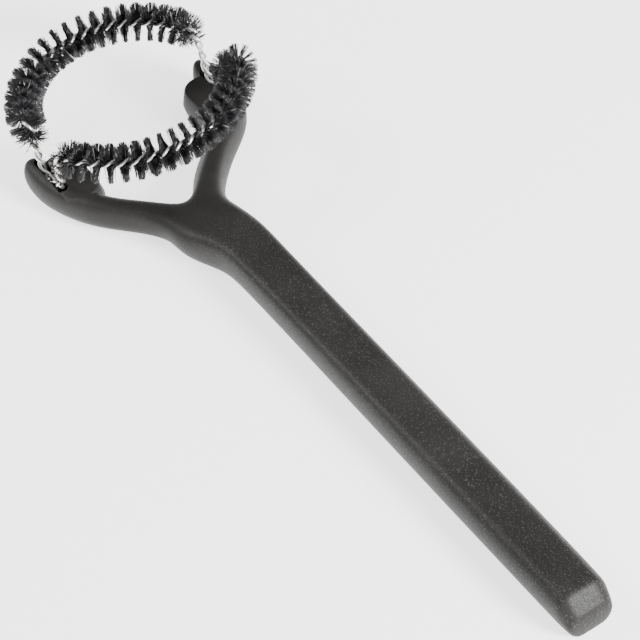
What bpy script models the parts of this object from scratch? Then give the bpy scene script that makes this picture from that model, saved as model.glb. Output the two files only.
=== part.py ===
"""Ring brush: a twisted-wire bristle ring that drops into the open slots of a forked handle.

The tool lies on its underside. +X runs along the handle to its butt, +Y across the fork, +Z up.
Heights are above the underside; plan positions are measured from the centre of the ring.
"""

import math

import bmesh
import bpy
from mathutils import Vector

MM = 0.001

# Where the ring sits
RING_SHIFT = -101.9  # ring centre along X, which centres the whole tool on the origin
RING_RADIUS = 32.0
RING_HEIGHT = 28.0

# The front half of the ring is bent a little wider than the back half
FRONT_RADIUS = 35.7
FRONT_CENTRE = (-3.6, 2.1)

# Twisted wire
STRAND_DIAMETER = 1.2
STRAND_OFFSET = 0.78  # strand centre from the centre of the twist
TWIST_PITCH = 8.7
TWIST_POINTS = 7  # path points in one turn
TWIST_HAND = -1  # left-handed
TWIST_PHASE = 34.0  # degrees the twist is turned on at its start
BACK_LEG_ANGLE = 18.0  # degrees of arc each side of a leg that the back circle gives up
FRONT_LEG_ANGLE = 27.0
LEG_Y = 31.0
SLOT_WIRE_DEPTH = 18.3  # wire centre in the slot, below the ring
END_GAP = 0.8  # between the two cut ends, inside the left slot

# Each leg from its half of the ring down to the slot: along X from the fork tip, outwards, depth
BACK_LEG = (
    (-7.6, 0.0, -1.1),
    (-6.2, 0.1, -4.6),
    (-5.6, 0.1, -9.2),
    (-5.0, 0.0, -13.6),
    (-3.4, 0.0, -17.1),
)
FRONT_LEG = (
    (10.9, 0.5, -1.0),
    (9.9, 0.4, -4.6),
    (9.1, 0.2, -9.2),
    (8.0, 0.0, -13.5),
    (5.2, 0.0, -17.1),
)

# Bristles
BRISTLE_RADIUS = 6.4
BRISTLE_BORE = 1.75
BACK_END_ANGLE = 19.5  # degrees each side of a leg
FRONT_END_ANGLE = 28.5

# Fork
BOSS_RADIUS = 6.0
BOSS_X = (-0.6, 10.6)  # centres of the boss's two round ends
BOSS_Y = 26.4
BOSS_TOP = 12.3
SLOT_X = 0.7
SLOT_WIDTH = 3.5
SLOT_LENGTH = 18.0
SLOT_FLOOR = 7.9

# Handle stations from butt to neck: x, middle y, half flat, half width, top, bottom
HANDLE_STATIONS = (
    (242.0, -1.9, 3.9, 5.2, 6.8, 1.8),
    (241.6, -1.9, 4.9, 6.9, 8.3, 0.2),
    (241.0, -1.9, 5.3, 7.6, 9.0, 0.0),
    (237.4, -1.7, 5.8, 8.4, 13.3, 0.0),
    (236.2, -1.6, 5.9, 8.6, 13.8, 0.0),
    (228.0, -1.4, 6.0, 8.8, 13.8, 0.0),
    (150.0, -0.5, 6.5, 8.8, 14.2, 0.0),
    (74.0, 0.1, 7.0, 8.4, 14.8, 0.6),
    (64.0, 0.0, 7.5, 8.9, 14.8, 0.9),
    (56.0, -2.2, 8.6, 10.8, 14.5, 1.2),
    (49.5, -3.8, 8.8, 11.7, 13.8, 1.6),
)
NECK = (42.5, -4.2, 8.0, 10.8, 13.0, 2.0)
CROTCH_HALF = 2.4
CROTCH_REACH = 4.0  # how far the crotch stands out of the neck towards the ring
FOOT_INSET = 2.2  # how far the underside's outer cage points step in from the sides

# Arm stations from neck to tip: centre x, y, shift along Y, outward normal angle from +X, then
# half widths (upper inner, upper outer, lower inner, lower outer), top, bottom
ARM_STATIONS = (
    (31.6, 11.8, -3.8, 45.0, 4.6, 4.1, 7.5, 4.7, 12.8, 1.8),
    (22.0, 20.8, -3.3, 45.0, 4.3, 3.8, 6.9, 4.7, 12.6, 2.0),
    (13.0, 28.4, 0.3, 54.0, 5.2, 5.5, 5.8, 5.8, 12.6, 1.4),
    (1.5, 31.0, 0.5, 86.0, 6.6, 6.5, 6.6, 6.7, 12.7, -0.2),
    (-7.6, 31.2, 0.3, 101.0, 3.9, 5.9, 4.8, 6.1, 13.0, 0.2),
    (-12.6, 31.2, 0.0, 104.0, 2.2, 3.7, 2.6, 3.9, 12.2, 3.4),
)
TIP_LEAN = 1.8  # the right tip reaches this much further than its station, the left this much less


def clear_scene():
    for item in list(bpy.data.objects):
        bpy.data.objects.remove(item, do_unlink=True)


def new_collection(name):
    made = bpy.data.collections.new(name)
    bpy.context.scene.collection.children.link(made)
    return made


def principled(name, colour, roughness, metallic=0.0):
    material = bpy.data.materials.new(name)
    material.use_nodes = True
    shader = material.node_tree.nodes["Principled BSDF"]
    shader.inputs["Base Color"].default_value = (*colour, 1.0)
    shader.inputs["Roughness"].default_value = roughness
    shader.inputs["Metallic"].default_value = metallic
    return material


def place(x, y, height):
    """A point measured from the ring centre and the underside, in metres in the shared frame."""
    return Vector(((x + RING_SHIFT) * MM, y * MM, height * MM))


def mesh_object(name, points, faces, collection, material=None):
    mesh = bpy.data.meshes.new(name)
    mesh.from_pydata([tuple(p) for p in points], [], faces)
    mesh.update()
    made = bpy.data.objects.new(name, mesh)
    collection.objects.link(made)
    if material:
        mesh.materials.append(material)
    return made


def face_outwards(made):
    shape = bmesh.new()
    shape.from_mesh(made.data)
    bmesh.ops.recalc_face_normals(shape, faces=shape.faces)
    shape.to_mesh(made.data)
    shape.free()


def shade_smooth(made):
    for polygon in made.data.polygons:
        polygon.use_smooth = True


def as_cutter(made):
    made.hide_render = True
    made.display_type = "WIRE"


def boolean(target, cutter, operation):
    modifier = target.modifiers.new(operation.title(), "BOOLEAN")
    modifier.operation = operation
    modifier.solver = "EXACT"
    modifier.object = cutter


# Handle and fork


def handle_ring(x, middle, half_flat, half_width, top, bottom):
    """Twelve cage points round the handle at one station, starting at the top on the -Y side."""
    inner = 0.45 * half_flat
    foot = half_width - FOOT_INSET
    upper = top - 0.28 * (top - bottom)
    lower = bottom + 0.34 * (top - bottom)
    outline = (
        (-half_flat, top),
        (-inner, top),
        (inner, top),
        (half_flat, top),
        (half_width, upper),
        (half_width, lower),
        (foot, bottom),
        (inner, bottom),
        (-inner, bottom),
        (-foot, bottom),
        (-half_width, lower),
        (-half_width, upper),
    )
    return [place(x, middle + y, height) for y, height in outline]


def arm_ring(side, station):
    """Eight cage points round one arm: top out, top in, down the inner face, back up the outer."""
    x, y, shift, angle, top_in, top_out, foot_in, foot_out, top, bottom = station
    turn = math.radians(angle)
    across = (math.cos(turn), math.sin(turn))
    drop = 0.30 * (top - bottom)
    offsets = (
        (0.62 * top_out, top),
        (-0.42 * top_in, top),
        (-top_in, top - drop),
        (-foot_in, bottom + drop),
        (-0.62 * foot_in, bottom),
        (0.6 * foot_out, bottom),
        (foot_out, bottom + drop),
        (top_out, top - 0.9 * drop),
    )
    if station is ARM_STATIONS[-1]:
        x -= side * TIP_LEAN
    return [
        place(x + across[0] * d, side * (y + across[1] * d) + shift, height)
        for d, height in offsets
    ]


def build_handle(parts, cutters, material):
    points = []
    faces = []
    rings = []
    for station in (*HANDLE_STATIONS, NECK):
        ring = handle_ring(*station)
        rings.append(list(range(len(points), len(points) + len(ring))))
        points.extend(ring)
    for first, second in zip(rings, rings[1:]):
        for k in range(12):
            n = (k + 1) % 12
            faces.append((first[k], first[n], second[n], second[k]))

    # Butt end: four inner points close it as a three by three patch
    end = rings[0]
    x, middle, half_flat, half_width, top, bottom = HANDLE_STATIONS[0]
    inner = 0.45 * half_flat
    start = len(points)
    for height in (top - 0.28 * (top - bottom), bottom + 0.34 * (top - bottom)):
        points.append(place(x + 0.2, middle - inner, height))
        points.append(place(x + 0.2, middle + inner, height))
    grid = (
        (end[0], end[1], end[2], end[3]),
        (end[11], start, start + 1, end[4]),
        (end[10], start + 2, start + 3, end[5]),
        (end[9], end[8], end[7], end[6]),
    )
    for above, below in zip(grid, grid[1:]):
        for k in range(3):
            faces.append((above[k], above[k + 1], below[k + 1], below[k]))

    # Crotch: the middle of the neck ring becomes the wall between the arms
    neck = rings[-1]
    x, middle, _, _, top, bottom = NECK
    for index, side, height in ((1, -1, top), (2, 1, top), (8, -1, bottom), (7, 1, bottom)):
        points[neck[index]] = place(x - CROTCH_REACH, middle + side * CROTCH_HALF, height)
    start = len(points)
    upper = bottom + 0.70 * (top - bottom)
    lower = bottom + 0.32 * (top - bottom)
    for height in (upper, lower):
        points.append(place(x - CROTCH_REACH - 1.2, middle - CROTCH_HALF, height))
        points.append(place(x - CROTCH_REACH - 1.2, middle + CROTCH_HALF, height))
    left_wall = (neck[1], start, start + 2, neck[8])
    right_wall = (neck[2], start + 1, start + 3, neck[7])
    for k in range(3):
        faces.append((left_wall[k], right_wall[k], right_wall[k + 1], left_wall[k + 1]))

    roots = {
        -1: [neck[0], neck[1], start, start + 2, neck[8], neck[9], neck[10], neck[11]],
        1: [neck[3], neck[2], start + 1, start + 3, neck[7], neck[6], neck[5], neck[4]],
    }
    for side, previous in roots.items():
        for station in ARM_STATIONS:
            ring = arm_ring(side, station)
            current = list(range(len(points), len(points) + len(ring)))
            points.extend(ring)
            for k in range(8):
                n = (k + 1) % 8
                faces.append((previous[k], previous[n], current[n], current[k]))
            previous = current
        top_out, top_in, in_up, in_low, foot_in, foot_out, out_low, out_up = previous
        faces.append((top_out, top_in, in_up, out_up))
        faces.append((out_up, in_up, in_low, out_low))
        faces.append((out_low, in_low, foot_in, foot_out))

    handle = mesh_object("handle_fork", points, faces, parts, material)
    face_outwards(handle)
    shade_smooth(handle)
    smooth = handle.modifiers.new("Moulded form", "SUBSURF")
    smooth.levels = 2
    smooth.render_levels = 2

    for side, label in ((-1, "left"), (1, "right")):
        boolean(handle, boss(label, side, cutters), "UNION")
    for side, label in ((-1, "left"), (1, "right")):
        boolean(handle, slot_cutter(label, side, cutters), "DIFFERENCE")
    return handle


def boss(label, side, cutters):
    """Flat-topped boss with two round ends, beside the slot, flared towards its foot."""
    levels = (
        (BOSS_RADIUS - 0.35, BOSS_TOP),
        (BOSS_RADIUS, BOSS_TOP - 0.35),
        (BOSS_RADIUS + 1.2, BOSS_TOP - 5.4),
        (BOSS_RADIUS + 0.7, BOSS_TOP - 8.4),
        (BOSS_RADIUS - 1.4, BOSS_TOP - 11.1),
    )
    half = 14
    count = 2 * (half + 1)
    points = []
    for radius, height in levels:
        for end, first in ((BOSS_X[1], -90), (BOSS_X[0], 90)):
            for k in range(half + 1):
                turn = math.radians(first + 180 * k / half)
                x = end + radius * math.cos(turn)
                points.append(place(x, side * BOSS_Y + radius * math.sin(turn), height))
    faces = [tuple(range(count)), tuple(reversed(range(len(points) - count, len(points))))]
    for level in range(len(levels) - 1):
        for k in range(count):
            n = (k + 1) % count
            upper = level * count
            lower = upper + count
            faces.append((upper + k, lower + k, lower + n, upper + n))
    made = mesh_object("boss_" + label, points, faces, cutters)
    face_outwards(made)
    as_cutter(made)
    return made


def slot_cutter(label, side, cutters):
    """Open-topped pocket with round ends that the wire legs drop into."""
    half = SLOT_WIDTH / 2
    reach = SLOT_LENGTH / 2 - half
    outline = []
    for k in range(9):
        turn = -math.pi / 2 + math.pi * k / 8
        outline.append((reach + half * math.cos(turn), half * math.sin(turn)))
    for k in range(9):
        turn = math.pi / 2 + math.pi * k / 8
        outline.append((-reach + half * math.cos(turn), half * math.sin(turn)))
    count = len(outline)
    points = []
    for height in (SLOT_FLOOR, BOSS_TOP + 12.0):
        points.extend(place(SLOT_X + x, side * LEG_Y + y, height) for x, y in outline)
    faces = [tuple(reversed(range(count))), tuple(range(count, 2 * count))]
    for k in range(count):
        n = (k + 1) % count
        faces.append((k, n, count + n, count + k))
    made = mesh_object("slot_" + label, points, faces, cutters)
    face_outwards(made)
    as_cutter(made)
    return made


# Twisted wire


def on_ring(centre, radius, angle):
    turn = math.radians(angle)
    return (centre[0] + radius * math.cos(turn), centre[1] + radius * math.sin(turn), 0.0)


def leg_points(leg, side):
    """One leg's points from the ring plane down to the slot, on the given side of the tool."""
    return [(x, side * (LEG_Y + out), depth) for x, out, depth in leg]


def arc_points(centre, radius, start, end):
    return [on_ring(centre, radius, start + (end - start) * k / 36) for k in range(37)]


def wire_path():
    """The wire's centre line, from the left slot round the back, the right slot and the front."""
    left = (0.0, -LEG_Y, -SLOT_WIRE_DEPTH)
    right = (0.0, LEG_Y, -SLOT_WIRE_DEPTH)
    path = [left]
    path.extend(reversed(leg_points(BACK_LEG, -1)))
    path.extend(arc_points((0.0, 0.0), RING_RADIUS, 270 - BACK_LEG_ANGLE, 90 + BACK_LEG_ANGLE))
    path.extend(leg_points(BACK_LEG, 1))
    path.append(right)
    path.extend(reversed(leg_points(FRONT_LEG, 1)))
    path.extend(arc_points(FRONT_CENTRE, FRONT_RADIUS, 90 - FRONT_LEG_ANGLE, FRONT_LEG_ANGLE - 90))
    path.extend(leg_points(FRONT_LEG, -1))
    path.append(left)
    return [Vector(p) for p in path]


def smoothed(points, steps=8):
    """Catmull-Rom curve through the points."""
    curve = []
    for k in range(len(points) - 1):
        a = points[max(k - 1, 0)]
        b = points[k]
        c = points[k + 1]
        d = points[min(k + 2, len(points) - 1)]
        for j in range(steps):
            t = j / steps
            curve.append(
                0.5
                * (
                    2 * b
                    + (c - a) * t
                    + (2 * a - 5 * b + 4 * c - d) * t**2
                    + (3 * b - a - 3 * c + d) * t**3
                )
            )
    curve.append(points[-1])
    return curve


def even_points(curve, step, trim):
    """Points at equal steps along the curve, leaving trim at each end."""
    lengths = [0.0]
    for a, b in zip(curve, curve[1:]):
        lengths.append(lengths[-1] + (b - a).length)
    usable = lengths[-1] - 2 * trim
    count = round(usable / step)
    spaced = []
    k = 0
    for j in range(count + 1):
        target = trim + usable * j / count
        while k < len(lengths) - 2 and lengths[k + 1] < target:
            k += 1
        share = (target - lengths[k]) / (lengths[k + 1] - lengths[k])
        spaced.append((target, curve[k].lerp(curve[k + 1], share)))
    return spaced


def build_strand(name, opposite, parts, material):
    """One strand of the pair: a helix carried round the wire's centre line."""
    spaced = even_points(smoothed(wire_path()), TWIST_PITCH / TWIST_POINTS, END_GAP / 2)
    centres = [p for _, p in spaced]
    first_turn = math.radians(TWIST_PHASE + 180.0 * opposite)
    side = Vector((0.0, 1.0, 0.0))
    track = []
    for k, (along, centre) in enumerate(spaced):
        tangent = (centres[min(k + 1, len(centres) - 1)] - centres[max(k - 1, 0)]).normalized()
        side = (side - tangent * side.dot(tangent)).normalized()
        other = tangent.cross(side)
        turn = first_turn + TWIST_HAND * 2 * math.pi * along / TWIST_PITCH
        offset = (side * math.cos(turn) + other * math.sin(turn)) * STRAND_OFFSET
        spot = centre + offset
        track.append(place(spot.x, spot.y, RING_HEIGHT + spot.z))
    data = bpy.data.curves.new(name, "CURVE")
    data.dimensions = "3D"
    data.bevel_depth = STRAND_DIAMETER / 2 * MM
    data.bevel_resolution = 1
    data.use_fill_caps = True
    spline = data.splines.new("POLY")
    spline.points.add(len(track) - 1)
    for point, spot in zip(spline.points, track):
        point.co = (*spot, 1.0)
    spline.use_smooth = True
    data.materials.append(material)
    made = bpy.data.objects.new(name, data)
    parts.objects.link(made)
    return made


# Bristles


def build_bristles(name, centre, radius, middle, end_angle, parts, material):
    """The bristles of one half of the ring as a bored tube bent round that half's circle."""
    sweep = math.radians(180 - 2 * end_angle)
    start = math.radians(middle) - sweep / 2
    count = 12
    points = []
    for k in range(count):
        turn = 2 * math.pi * k / count
        radial = radius + BRISTLE_RADIUS * math.cos(turn)
        points.append((radial * MM, 0.0, BRISTLE_RADIUS * math.sin(turn) * MM))
    mesh = bpy.data.meshes.new(name)
    mesh.from_pydata(points, [(k, (k + 1) % count) for k in range(count)], [])
    mesh.materials.append(material)
    made = bpy.data.objects.new(name, mesh)
    parts.objects.link(made)
    made.location = place(centre[0], centre[1], RING_HEIGHT)
    made.rotation_euler = (0.0, 0.0, start)
    turn = made.modifiers.new("Round the ring", "SCREW")
    turn.axis = "Z"
    turn.angle = sweep
    turn.steps = 20
    turn.render_steps = 20
    turn.use_merge_vertices = False
    wall = made.modifiers.new("Bore", "SOLIDIFY")
    wall.thickness = (BRISTLE_RADIUS - BRISTLE_BORE) * MM
    wall.offset = 1.0
    wall.use_even_offset = False
    return made


def main():
    clear_scene()
    parts = new_collection("group_ring_brush")
    cutters = new_collection("cutters")
    moulding = principled("Textured black nylon", (0.028, 0.027, 0.027), 0.5)
    steel = principled("Bright wire", (0.78, 0.78, 0.77), 0.22, 1.0)
    filament = principled("Black filament", (0.014, 0.014, 0.015), 0.35)
    build_handle(parts, cutters, moulding)
    build_strand("wire_strand_a", 0, parts, steel)
    build_strand("wire_strand_b", 1, parts, steel)
    build_bristles(
        "bristles_back", (0.0, 0.0), RING_RADIUS, 180.0, BACK_END_ANGLE, parts, filament
    )
    build_bristles(
        "bristles_front", FRONT_CENTRE, FRONT_RADIUS, 0.0, FRONT_END_ANGLE, parts, filament
    )


main()
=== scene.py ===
"""Looks of the group head ring brush: real filaments, fine twisted wire, textured moulding."""

import math
import random
from collections import namedtuple

import bpy
from mathutils import Matrix, Vector


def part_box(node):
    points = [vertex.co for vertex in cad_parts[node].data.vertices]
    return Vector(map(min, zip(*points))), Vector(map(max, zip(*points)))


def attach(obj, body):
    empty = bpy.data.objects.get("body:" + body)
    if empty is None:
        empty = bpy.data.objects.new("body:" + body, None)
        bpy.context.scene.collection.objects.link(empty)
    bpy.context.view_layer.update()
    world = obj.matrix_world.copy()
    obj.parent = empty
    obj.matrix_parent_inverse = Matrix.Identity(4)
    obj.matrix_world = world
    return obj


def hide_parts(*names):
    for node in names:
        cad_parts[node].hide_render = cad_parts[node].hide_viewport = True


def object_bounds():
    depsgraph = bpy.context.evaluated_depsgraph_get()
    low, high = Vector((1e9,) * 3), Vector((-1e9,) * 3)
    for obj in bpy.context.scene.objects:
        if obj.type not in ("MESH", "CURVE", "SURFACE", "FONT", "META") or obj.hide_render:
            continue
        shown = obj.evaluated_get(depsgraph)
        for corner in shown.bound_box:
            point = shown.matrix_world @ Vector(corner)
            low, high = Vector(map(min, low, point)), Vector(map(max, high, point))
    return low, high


MM = 0.001

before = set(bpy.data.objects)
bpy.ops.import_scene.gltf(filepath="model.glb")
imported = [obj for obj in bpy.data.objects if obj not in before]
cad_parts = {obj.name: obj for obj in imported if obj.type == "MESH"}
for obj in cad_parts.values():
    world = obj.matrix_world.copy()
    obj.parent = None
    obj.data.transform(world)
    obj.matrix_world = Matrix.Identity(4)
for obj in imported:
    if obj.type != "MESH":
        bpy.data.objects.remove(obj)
cad_low, cad_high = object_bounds()

# Ring, read from the frame: the back half is a circle about the ring's centre
back_low, back_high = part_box("bristles_back")
RING_RADIUS = 32.0
BRISTLE_RADIUS = (back_high.z - back_low.z) / 2 / MM
RING_CENTRE = Vector(
    (
        back_low.x + (RING_RADIUS + BRISTLE_RADIUS) * MM,
        (back_low.y + back_high.y) / 2,
        (back_low.z + back_high.z) / 2,
    )
)

# Twisted wire, in millimetres from the ring centre, as the CAD strands run
FRONT_RADIUS = 35.7
FRONT_CENTRE = (-3.6, 2.1)
STRAND_DIAMETER = 1.2
STRAND_OFFSET = 0.78
TWIST_PITCH = 8.7
TWIST_HAND = -1
TWIST_PHASE = 34.0
BACK_LEG_ANGLE = 18.0
FRONT_LEG_ANGLE = 27.0
LEG_Y = 31.0
SLOT_WIRE_DEPTH = 18.3
END_GAP = 0.8
BACK_LEG = (
    (-7.6, 0.0, -1.1),
    (-6.2, 0.1, -4.6),
    (-5.6, 0.1, -9.2),
    (-5.0, 0.0, -13.6),
    (-3.4, 0.0, -17.1),
)
FRONT_LEG = (
    (10.9, 0.5, -1.0),
    (9.9, 0.4, -4.6),
    (9.1, 0.2, -9.2),
    (8.0, 0.0, -13.5),
    (5.2, 0.0, -17.1),
)
FINE_STEPS = 22  # path points in one turn

# Filaments, in millimetres and degrees
FILAMENTS_PER_MM = 38
FILAMENT_RADIUS = 0.12
FAN_SPREAD = 5.5  # either side of the true helical fan
STRAY_SHARE = 0.06
STRAY_SPREAD = 24.0
LEAN = 3.0  # along the wire, off square
RAGGED_SPREAD = 22.0  # added where a section of the bristles begins or ends
RAGGED_LEAN = 14.0
RAGGED_CUT = 0.25  # share of its length that a ragged hair can lose
SHORTEST = 0.93  # trimmed length of a hair, as a share of the longest
LEG_CUT = 0.55  # share of their length that hairs lose towards the foot of a leg
ROOT_SCATTER = 0.22
ROOT_GRIP = 0.12
BOW = 0.06
TIP_TAPER = 0.8
# share of full-bristle hairs given the pale end of the tone ramp: painted highlights along black
# hairs
GLINT_HAIR_SHARE = 0.02
LEG_FLOOR = -14.6  # filament tips stay above the boss faces
BACK_END_ANGLE = 107  # round the ring, where the back section stops
FRONT_START_DEPTH = -11.5  # down the right front leg, where the front section starts
SEED = 7

# Moulding, in millimetres along the handle from the ring centre
NECK = 58.0
SMOOTH_BEFORE_NECK = 9.0
GRAINY_PAST_NECK = 6.0

# Camera, in millimetres and degrees: it stands off from a point given from the ring centre
AIM_FROM_RING = Vector((80.0, 0.0, -15.0))
CAMERA_AZIMUTH = 65.2
CAMERA_ELEVATION = 45.6
CAMERA_ROLL = -11.6
CAMERA_DISTANCE = 1000.0
CAMERA_LENS = 187.8
FRAMING_RIGHT = 14.68  # from that point to the middle of the frame
FRAMING_DOWN = 16.03

# Studio, in metres and watts
WHITE = (1.0, 1.0, 1.0, 1.0)
WORLD_STRENGTH = 0.50
FLOOR_GLOW = 1.9
FLOOR_HALF = 6.0
FLOOR_GAP = 0.0003
KEY = ((-0.63, -0.47, 0.61), 1.4, 0.55, 13.0)  # direction, distance, size, power
BUTT_SIDE = ((0.855, 0.293, 0.455), 1.3, 0.4, 48.0)

# Bristles from start to end along the wire: hairs per millimetre, their length as a share of
# the full length, the lengths at each end over which they go ragged, and the pale share: painted
# highlights on the full bristles, a lighter hair colour on the stub sections
Section = namedtuple("Section", "start end density length ragged pale")


# Wire path


def on_ring(centre, radius, angle):
    turn = math.radians(angle)
    return (centre[0] + radius * math.cos(turn), centre[1] + radius * math.sin(turn), 0.0)


def leg_points(leg, side):
    """One leg's points from the ring plane down to the slot, on the given side of the tool."""
    return [(x, side * (LEG_Y + out), depth) for x, out, depth in leg]


def arc_points(centre, radius, start, end):
    """Points along part of a circle in the ring plane, from start to end in degrees."""
    return [on_ring(centre, radius, start + (end - start) * k / 36) for k in range(37)]


def wire_path():
    """The wire's centre line, from the left slot round the back, the right slot and the front."""
    left = (0.0, -LEG_Y, -SLOT_WIRE_DEPTH)
    right = (0.0, LEG_Y, -SLOT_WIRE_DEPTH)
    path = [left]
    path.extend(reversed(leg_points(BACK_LEG, -1)))
    path.extend(arc_points((0.0, 0.0), RING_RADIUS, 270 - BACK_LEG_ANGLE, 90 + BACK_LEG_ANGLE))
    path.extend(leg_points(BACK_LEG, 1))
    path.append(right)
    path.extend(reversed(leg_points(FRONT_LEG, 1)))
    path.extend(arc_points(FRONT_CENTRE, FRONT_RADIUS, 90 - FRONT_LEG_ANGLE, FRONT_LEG_ANGLE - 90))
    path.extend(leg_points(FRONT_LEG, -1))
    path.append(left)
    return [Vector(p) for p in path]


def smoothed(points, steps=8):
    """Catmull-Rom curve through the points."""
    curve = []
    for k in range(len(points) - 1):
        a = points[max(k - 1, 0)]
        b = points[k]
        c = points[k + 1]
        d = points[min(k + 2, len(points) - 1)]
        for j in range(steps):
            t = j / steps
            curve.append(
                0.5
                * (
                    2 * b
                    + (c - a) * t
                    + (2 * a - 5 * b + 4 * c - d) * t**2
                    + (3 * b - a - 3 * c + d) * t**3
                )
            )
    curve.append(points[-1])
    return curve


def even_points(curve, step, trim):
    """(distance, point) at equal steps along the curve, leaving trim at each end."""
    lengths = [0.0]
    for a, b in zip(curve, curve[1:]):
        lengths.append(lengths[-1] + (b - a).length)
    usable = lengths[-1] - 2 * trim
    count = round(usable / step)
    spaced = []
    k = 0
    for j in range(count + 1):
        target = trim + usable * j / count
        while k < len(lengths) - 2 and lengths[k + 1] < target:
            k += 1
        share = (target - lengths[k]) / (lengths[k + 1] - lengths[k])
        spaced.append((target, curve[k].lerp(curve[k + 1], share)))
    return spaced


def twist_frames():
    """(distance, centre, tangent, towards strand a, across the strands) along the whole wire."""
    spaced = even_points(smoothed(wire_path()), TWIST_PITCH / FINE_STEPS, END_GAP / 2)
    centres = [p for _, p in spaced]
    side = Vector((0.0, 1.0, 0.0))
    frames = []
    for k, (along, centre) in enumerate(spaced):
        tangent = (centres[min(k + 1, len(centres) - 1)] - centres[max(k - 1, 0)]).normalized()
        side = (side - tangent * side.dot(tangent)).normalized()
        other = tangent.cross(side)
        turn = math.radians(TWIST_PHASE) + TWIST_HAND * 2 * math.pi * along / TWIST_PITCH
        strand = side * math.cos(turn) + other * math.sin(turn)
        frames.append((along, centre, tangent, strand, tangent.cross(strand)))
    return frames


def in_frame(point):
    """The place of a point given in millimetres from the ring centre."""
    return RING_CENTRE + Vector(point) * MM


# Materials


class Nodes:
    """Short calls for building one material's node tree."""

    def __init__(self, name):
        self.material = bpy.data.materials.new(name)
        self.material.use_nodes = True
        self.tree = self.material.node_tree
        self.shader = self.tree.nodes["Principled BSDF"]

    def add(self, kind, **settings):
        node = self.tree.nodes.new(kind)
        for key, value in settings.items():
            setattr(node, key, value)
        return node

    def join(self, source, target):
        self.tree.links.new(source, target)

    def place(self):
        return self.add("ShaderNodeTexCoord").outputs["Object"]

    def noise(self, scale, detail, where):
        node = self.add("ShaderNodeTexNoise")
        node.inputs["Scale"].default_value = scale
        node.inputs["Detail"].default_value = detail
        self.join(where, node.inputs["Vector"])
        return node.outputs["Fac"]

    def remap(self, value, low, high, to_low, to_high):
        node = self.add("ShaderNodeMapRange")
        for key, number in (
            ("From Min", low),
            ("From Max", high),
            ("To Min", to_low),
            ("To Max", to_high),
        ):
            node.inputs[key].default_value = number
        self.join(value, node.inputs["Value"])
        return node.outputs["Result"]

    def maths(self, operation, first, second):
        node = self.add("ShaderNodeMath", operation=operation)
        for socket, value in zip(node.inputs, (first, second)):
            if isinstance(value, (int, float)):
                socket.default_value = value
            else:
                self.join(value, socket)
        return node.outputs["Value"]

    def mix(self, share, first, second):
        node = self.add("ShaderNodeMix", data_type="RGBA")
        self.join(share, node.inputs["Factor"])
        for socket, value in ((node.inputs[6], first), (node.inputs[7], second)):
            if isinstance(value, tuple):
                socket.default_value = (*value, 1.0)
            else:
                self.join(value, socket)
        return node.outputs[2]

    def bump(self, height, distance, strength, under=None):
        node = self.add("ShaderNodeBump")
        node.inputs["Strength"].default_value = strength
        node.inputs["Distance"].default_value = distance
        self.join(height, node.inputs["Height"])
        if under is not None:
            self.join(under, node.inputs["Normal"])
        return node.outputs["Normal"]


def moulding_material():
    """Black nylon: spark-eroded grain and light specks on the handle, smoother on the fork."""
    made = Nodes("Textured black nylon")
    where = made.place()
    split = made.add("ShaderNodeSeparateXYZ")
    made.join(where, split.inputs["Vector"])
    neck = RING_CENTRE.x + NECK * MM
    smooth = neck - SMOOTH_BEFORE_NECK * MM
    grainy = made.remap(split.outputs["X"], smooth, neck + GRAINY_PAST_NECK * MM, 0.25, 1.0)

    grain = made.noise(2600.0, 3.0, where)
    pits = made.noise(1300.0, 2.0, where)
    cloud = made.noise(45.0, 3.0, where)
    specks = made.remap(made.noise(2100.0, 1.0, where), 0.58, 0.72, 0.0, 1.0)
    specks = made.maths("MULTIPLY", specks, grainy)

    cloudy = made.remap(cloud, 0.35, 0.65, 0.0, 1.0)
    body = made.mix(cloudy, (0.0150, 0.0145, 0.0138), (0.0230, 0.0222, 0.0212))
    speckled = made.mix(specks, body, (0.060, 0.058, 0.055))
    made.join(speckled, made.shader.inputs["Base Color"])

    rough = made.remap(grain, 0.3, 0.7, 0.40, 0.56)
    made.join(rough, made.shader.inputs["Roughness"])
    relief = made.maths("MULTIPLY", made.maths("ADD", grain, pits), grainy)
    made.join(made.bump(relief, 0.05 * MM, 0.55), made.shader.inputs["Normal"])
    made.shader.inputs["Specular IOR Level"].default_value = 0.17
    return made.material


def wire_material():
    """Bright drawn wire with faint dulling and fine draw marks."""
    made = Nodes("Drawn stainless wire")
    where = made.place()
    dull = made.noise(700.0, 3.0, where)
    dulled = made.remap(dull, 0.4, 0.7, 0.0, 1.0)
    colour = made.mix(dulled, (0.98, 0.97, 0.96), (0.84, 0.83, 0.81))
    made.join(colour, made.shader.inputs["Base Color"])
    made.join(made.remap(dull, 0.3, 0.7, 0.30, 0.46), made.shader.inputs["Roughness"])
    marks = made.noise(5200.0, 2.0, where)
    made.join(made.bump(marks, 0.01 * MM, 0.3), made.shader.inputs["Normal"])
    made.shader.inputs["Metallic"].default_value = 1.0
    return made.material


def filament_material():
    """Black nylon hairs, each its own shade; pale ones are painted highlights on the full bristles
    and a lighter colour on the stubs.
    """
    made = Nodes("Black nylon filament")
    tone = made.add("ShaderNodeAttribute", attribute_name="tone")
    colour = made.add("ShaderNodeValToRGB")
    made.join(tone.outputs["Fac"], colour.inputs["Fac"])
    ramp = colour.color_ramp
    ramp.elements[0].color = (0.004, 0.004, 0.005, 1.0)
    # pale end of the ramp: painted highlight colour for glinting hairs, and the stubs' lighter hair
    # colour
    ramp.elements[1].position = 1.0
    ramp.elements[1].color = (0.30, 0.28, 0.25, 1.0)
    middle = ramp.elements.new(0.9)
    middle.color = (0.016, 0.016, 0.018, 1.0)
    made.join(colour.outputs["Color"], made.shader.inputs["Base Color"])
    rough = made.remap(tone.outputs["Fac"], 0.0, 1.0, 0.30, 0.45)
    made.join(rough, made.shader.inputs["Roughness"])
    made.shader.inputs["Specular IOR Level"].default_value = 0.5
    return made.material


# Pieces


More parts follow.
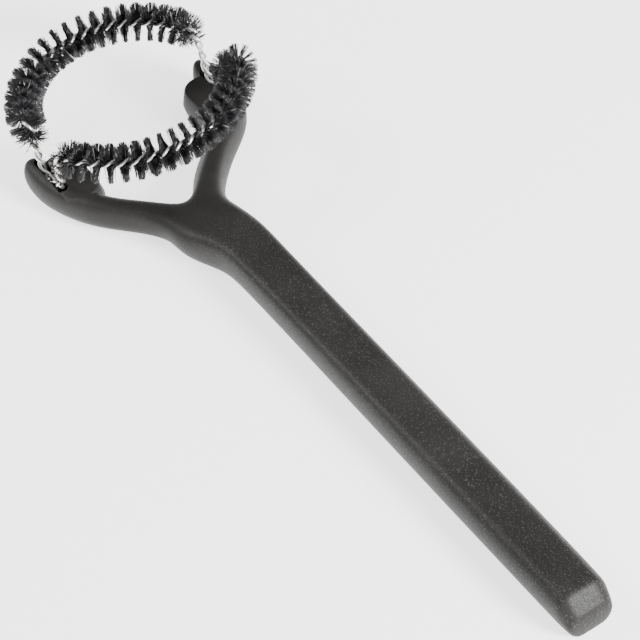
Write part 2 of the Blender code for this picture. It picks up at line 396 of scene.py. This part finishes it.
def fine_strand(name, node, sign, frames, material):
    """One strand at full smoothness, in place of its coarse CAD tube."""
    data = bpy.data.curves.new(name, "CURVE")
    data.dimensions = "3D"
    data.bevel_depth = STRAND_DIAMETER / 2 * MM
    data.bevel_resolution = 3
    data.use_fill_caps = True
    spline = data.splines.new("POLY")
    spline.points.add(len(frames) - 1)
    for point, (_, centre, _, strand, _) in zip(spline.points, frames):
        spot = in_frame(centre + strand * (sign * STRAND_OFFSET))
        point.co = (*spot, 1.0)
    spline.use_smooth = True
    data.materials.append(material)
    made = bpy.data.objects.new(name, data)
    bpy.context.scene.collection.objects.link(made)
    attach(made, "brush_ring")
    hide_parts(node)
    return made


def half_filament(points, faces, tones, root, tip, bow, tone):
    """A three-sided hair from root to tip, bowed a little at the middle."""
    axis = (tip - root).normalized()
    across = axis.orthogonal().normalized()
    other = axis.cross(across)
    first = len(points)
    for spot, thick in ((root, 1.0), ((root + tip) / 2 + bow, 1.0), (tip, TIP_TAPER)):
        for k in range(3):
            turn = 2 * math.pi * k / 3
            ring = across * math.cos(turn) + other * math.sin(turn)
            points.append(in_frame(spot + ring * (FILAMENT_RADIUS * thick)))
            tones.append(tone)
    for ring in (first, first + 3):
        for k in range(3):
            n = (k + 1) % 3
            faces.append((ring + k, ring + n, ring + 3 + n, ring + 3 + k))
    faces.append((first + 6, first + 7, first + 8))


def bristle_fans(name, node, frames, sections, material, chance):
    """Hairs gripped between the strands, so that they fan out as the wire twists."""
    points, faces, tones = [], [], []
    for section in sections:
        start = section.start
        end = section.end
        span = [f for f in frames if start <= f[0] <= end]
        for _ in range(round((end - start) * section.density)):
            along = chance.uniform(start, end)
            share = (along - start) / (end - start) * (len(span) - 1)
            _, centre, tangent, strand, across = span[min(round(share), len(span) - 1)]
            ragged = max(
                0.0,
                1.0 - (along - start) / section.ragged[0],
                1.0 - (end - along) / section.ragged[1],
            )
            spread = FAN_SPREAD + RAGGED_SPREAD * ragged
            if chance.random() < STRAY_SHARE:
                spread = STRAY_SPREAD
            down_leg = max(0.0, -centre.z / SLOT_WIRE_DEPTH)
            reach = BRISTLE_RADIUS * section.length * (1.0 - LEG_CUT * down_leg**1.5)
            for way in (1, -1):
                turn = math.radians(chance.gauss(0.0, spread))
                lean = math.radians(chance.gauss(0.0, LEAN + RAGGED_LEAN * ragged))
                out = across * math.cos(turn) + strand * math.sin(turn)
                direction = (out * (way * math.cos(lean)) + tangent * math.sin(lean)).normalized()
                trimmed = chance.uniform(SHORTEST, 1.0) - RAGGED_CUT * ragged * chance.random()
                length = reach * trimmed
                root = centre + tangent * chance.gauss(0.0, ROOT_SCATTER)
                root += strand * chance.uniform(-ROOT_GRIP, ROOT_GRIP)
                tip = root + direction * length
                if tip.z < LEG_FLOOR:
                    continue
                bow = Vector([chance.gauss(0.0, BOW) for _ in range(3)])
                # tone 1.0 is the pale end: a painted highlight on full bristles, a lighter hair
                # colour on stubs
                tone = 1.0 if chance.random() < section.pale else chance.uniform(0.0, 0.9)
                half_filament(points, faces, tones, root, tip, bow, tone)
    mesh = bpy.data.meshes.new(name)
    mesh.from_pydata([tuple(p) for p in points], [], faces)
    shade = mesh.attributes.new("tone", "FLOAT", "POINT")
    shade.data.foreach_set("value", tones)
    for polygon in mesh.polygons:
        polygon.use_smooth = True
    mesh.materials.append(material)
    made = bpy.data.objects.new(name, mesh)
    bpy.context.scene.collection.objects.link(made)
    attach(made, "brush_ring")
    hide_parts(node)
    return made


def nearest_along(frames, place):
    """Distance along the wire at which it passes nearest the place."""
    spot = Vector(place)
    return min(frames, key=lambda f: (f[1] - spot).length)[0]


def dress_moulding(node, material):
    """The CAD moulding with its facets smoothed and its real edges kept."""
    node.data.materials.clear()
    node.data.materials.append(material)
    for polygon in node.data.polygons:
        polygon.use_smooth = True
    weld = node.modifiers.new("Join facets", "WELD")
    weld.merge_threshold = 0.002 * MM
    split = node.modifiers.new("Keep edges", "EDGE_SPLIT")
    split.split_angle = math.radians(38)


# Stage


def add_floor():
    made = Nodes("Pale sweep")
    cloud = made.noise(3.0, 2.0, made.place())
    colour = made.mix(cloud, (0.93, 0.93, 0.93), (0.95, 0.95, 0.95))
    made.join(colour, made.shader.inputs["Base Color"])
    made.shader.inputs["Roughness"].default_value = 0.9
    made.shader.inputs["Specular IOR Level"].default_value = 0.1
    made.shader.inputs["Emission Color"].default_value = WHITE
    made.shader.inputs["Emission Strength"].default_value = FLOOR_GLOW
    mesh = bpy.data.meshes.new("floor")
    corners = [(x * FLOOR_HALF, y * FLOOR_HALF, 0.0) for x, y in ((-1, -1), (1, -1), (1, 1), (-1, 1))]
    mesh.from_pydata(corners, [], [(0, 1, 2, 3)])
    mesh.materials.append(made.material)
    floor = bpy.data.objects.new("floor", mesh)
    floor.location.z = cad_low.z - FLOOR_GAP
    bpy.context.scene.collection.objects.link(floor)


def add_light(name, towards, distance, size, power):
    """A square soft box that faces the tool from the given direction."""
    data = bpy.data.lights.new(name, "AREA")
    data.shape = "SQUARE"
    data.size = size
    data.energy = power
    lamp = bpy.data.objects.new(name, data)
    way = Vector(towards).normalized()
    lamp.location = way * distance
    lamp.rotation_mode = "QUATERNION"
    lamp.rotation_quaternion = way.to_track_quat("Z", "Y")
    bpy.context.scene.collection.objects.link(lamp)


def add_world():
    world = bpy.data.worlds.new("Studio")
    world.use_nodes = True
    background = world.node_tree.nodes["Background"]
    background.inputs["Color"].default_value = WHITE
    background.inputs["Strength"].default_value = WORLD_STRENGTH
    bpy.context.scene.world = world


def add_camera():
    """A long lens above the butt's left, rolled so that the tool lies across the frame."""
    azimuth = math.radians(CAMERA_AZIMUTH)
    elevation = math.radians(CAMERA_ELEVATION)
    roll = math.radians(CAMERA_ROLL)
    back = Vector(
        (
            math.sin(azimuth) * math.cos(elevation),
            -math.cos(azimuth) * math.cos(elevation),
            math.sin(elevation),
        )
    )
    level = Vector((math.cos(azimuth), math.sin(azimuth), 0.0))
    upright = back.cross(level)
    right = level * math.cos(roll) + upright * math.sin(roll)
    up = upright * math.cos(roll) - level * math.sin(roll)
    middle = RING_CENTRE + AIM_FROM_RING * MM
    spot = middle + back * (CAMERA_DISTANCE * MM)
    aim = middle + (right * FRAMING_RIGHT - up * FRAMING_DOWN) * MM
    out = (spot - aim).normalized()
    across = up.cross(out).normalized()
    data = bpy.data.cameras.new("camera")
    data.sensor_width = 36.0
    data.lens = CAMERA_LENS
    camera = bpy.data.objects.new("camera", data)
    turned = Matrix((across, out.cross(across), out)).transposed().to_4x4()
    camera.matrix_world = Matrix.Translation(spot) @ turned
    bpy.context.scene.collection.objects.link(camera)
    bpy.context.scene.camera = camera


def main():
    chance = random.Random(SEED)
    frames = twist_frames()
    wire = wire_material()
    hair = filament_material()
    dress_moulding(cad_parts["handle_fork"], moulding_material())
    fine_strand("twisted_wire_a", "wire_strand_a", 1, frames, wire)
    fine_strand("twisted_wire_b", "wire_strand_b", -1, frames, wire)

    back_start = nearest_along(frames, (BACK_LEG[1][0], -LEG_Y, BACK_LEG[1][2]))
    back_end = nearest_along(frames, on_ring((0.0, 0.0), RING_RADIUS, BACK_END_ANGLE))
    front_start = nearest_along(frames, (FRONT_LEG[3][0], LEG_Y, FRONT_START_DEPTH))
    front_end = nearest_along(frames, on_ring(FRONT_CENTRE, FRONT_RADIUS, FRONT_LEG_ANGLE - 90))
    leg_foot = nearest_along(frames, (FRONT_LEG[3][0], -LEG_Y, FRONT_LEG[3][2]))
    back = (
        Section(back_start - 4.0, back_start, 7, 0.42, (1.0, 1.0), 0.35),
        Section(back_start, back_end, FILAMENTS_PER_MM, 1.0, (5.0, 5.0), GLINT_HAIR_SHARE),
        Section(back_end, back_end + 4.5, 7, 0.5, (1.0, 1.0), 0.3),
    )
    front = (
        Section(front_start, front_end, FILAMENTS_PER_MM, 1.0, (14.0, 4.0), GLINT_HAIR_SHARE),
        Section(front_end, leg_foot, 9, 0.42, (1.0, 1.0), 0.4),
    )
    bristle_fans("bristle_fans_back", "bristles_back", frames, back, hair, chance)
    bristle_fans("bristle_fans_front", "bristles_front", frames, front, hair, chance)

    add_floor()
    add_world()
    add_light("key", *KEY)
    add_light("butt_side", *BUTT_SIDE)
    add_camera()


main()
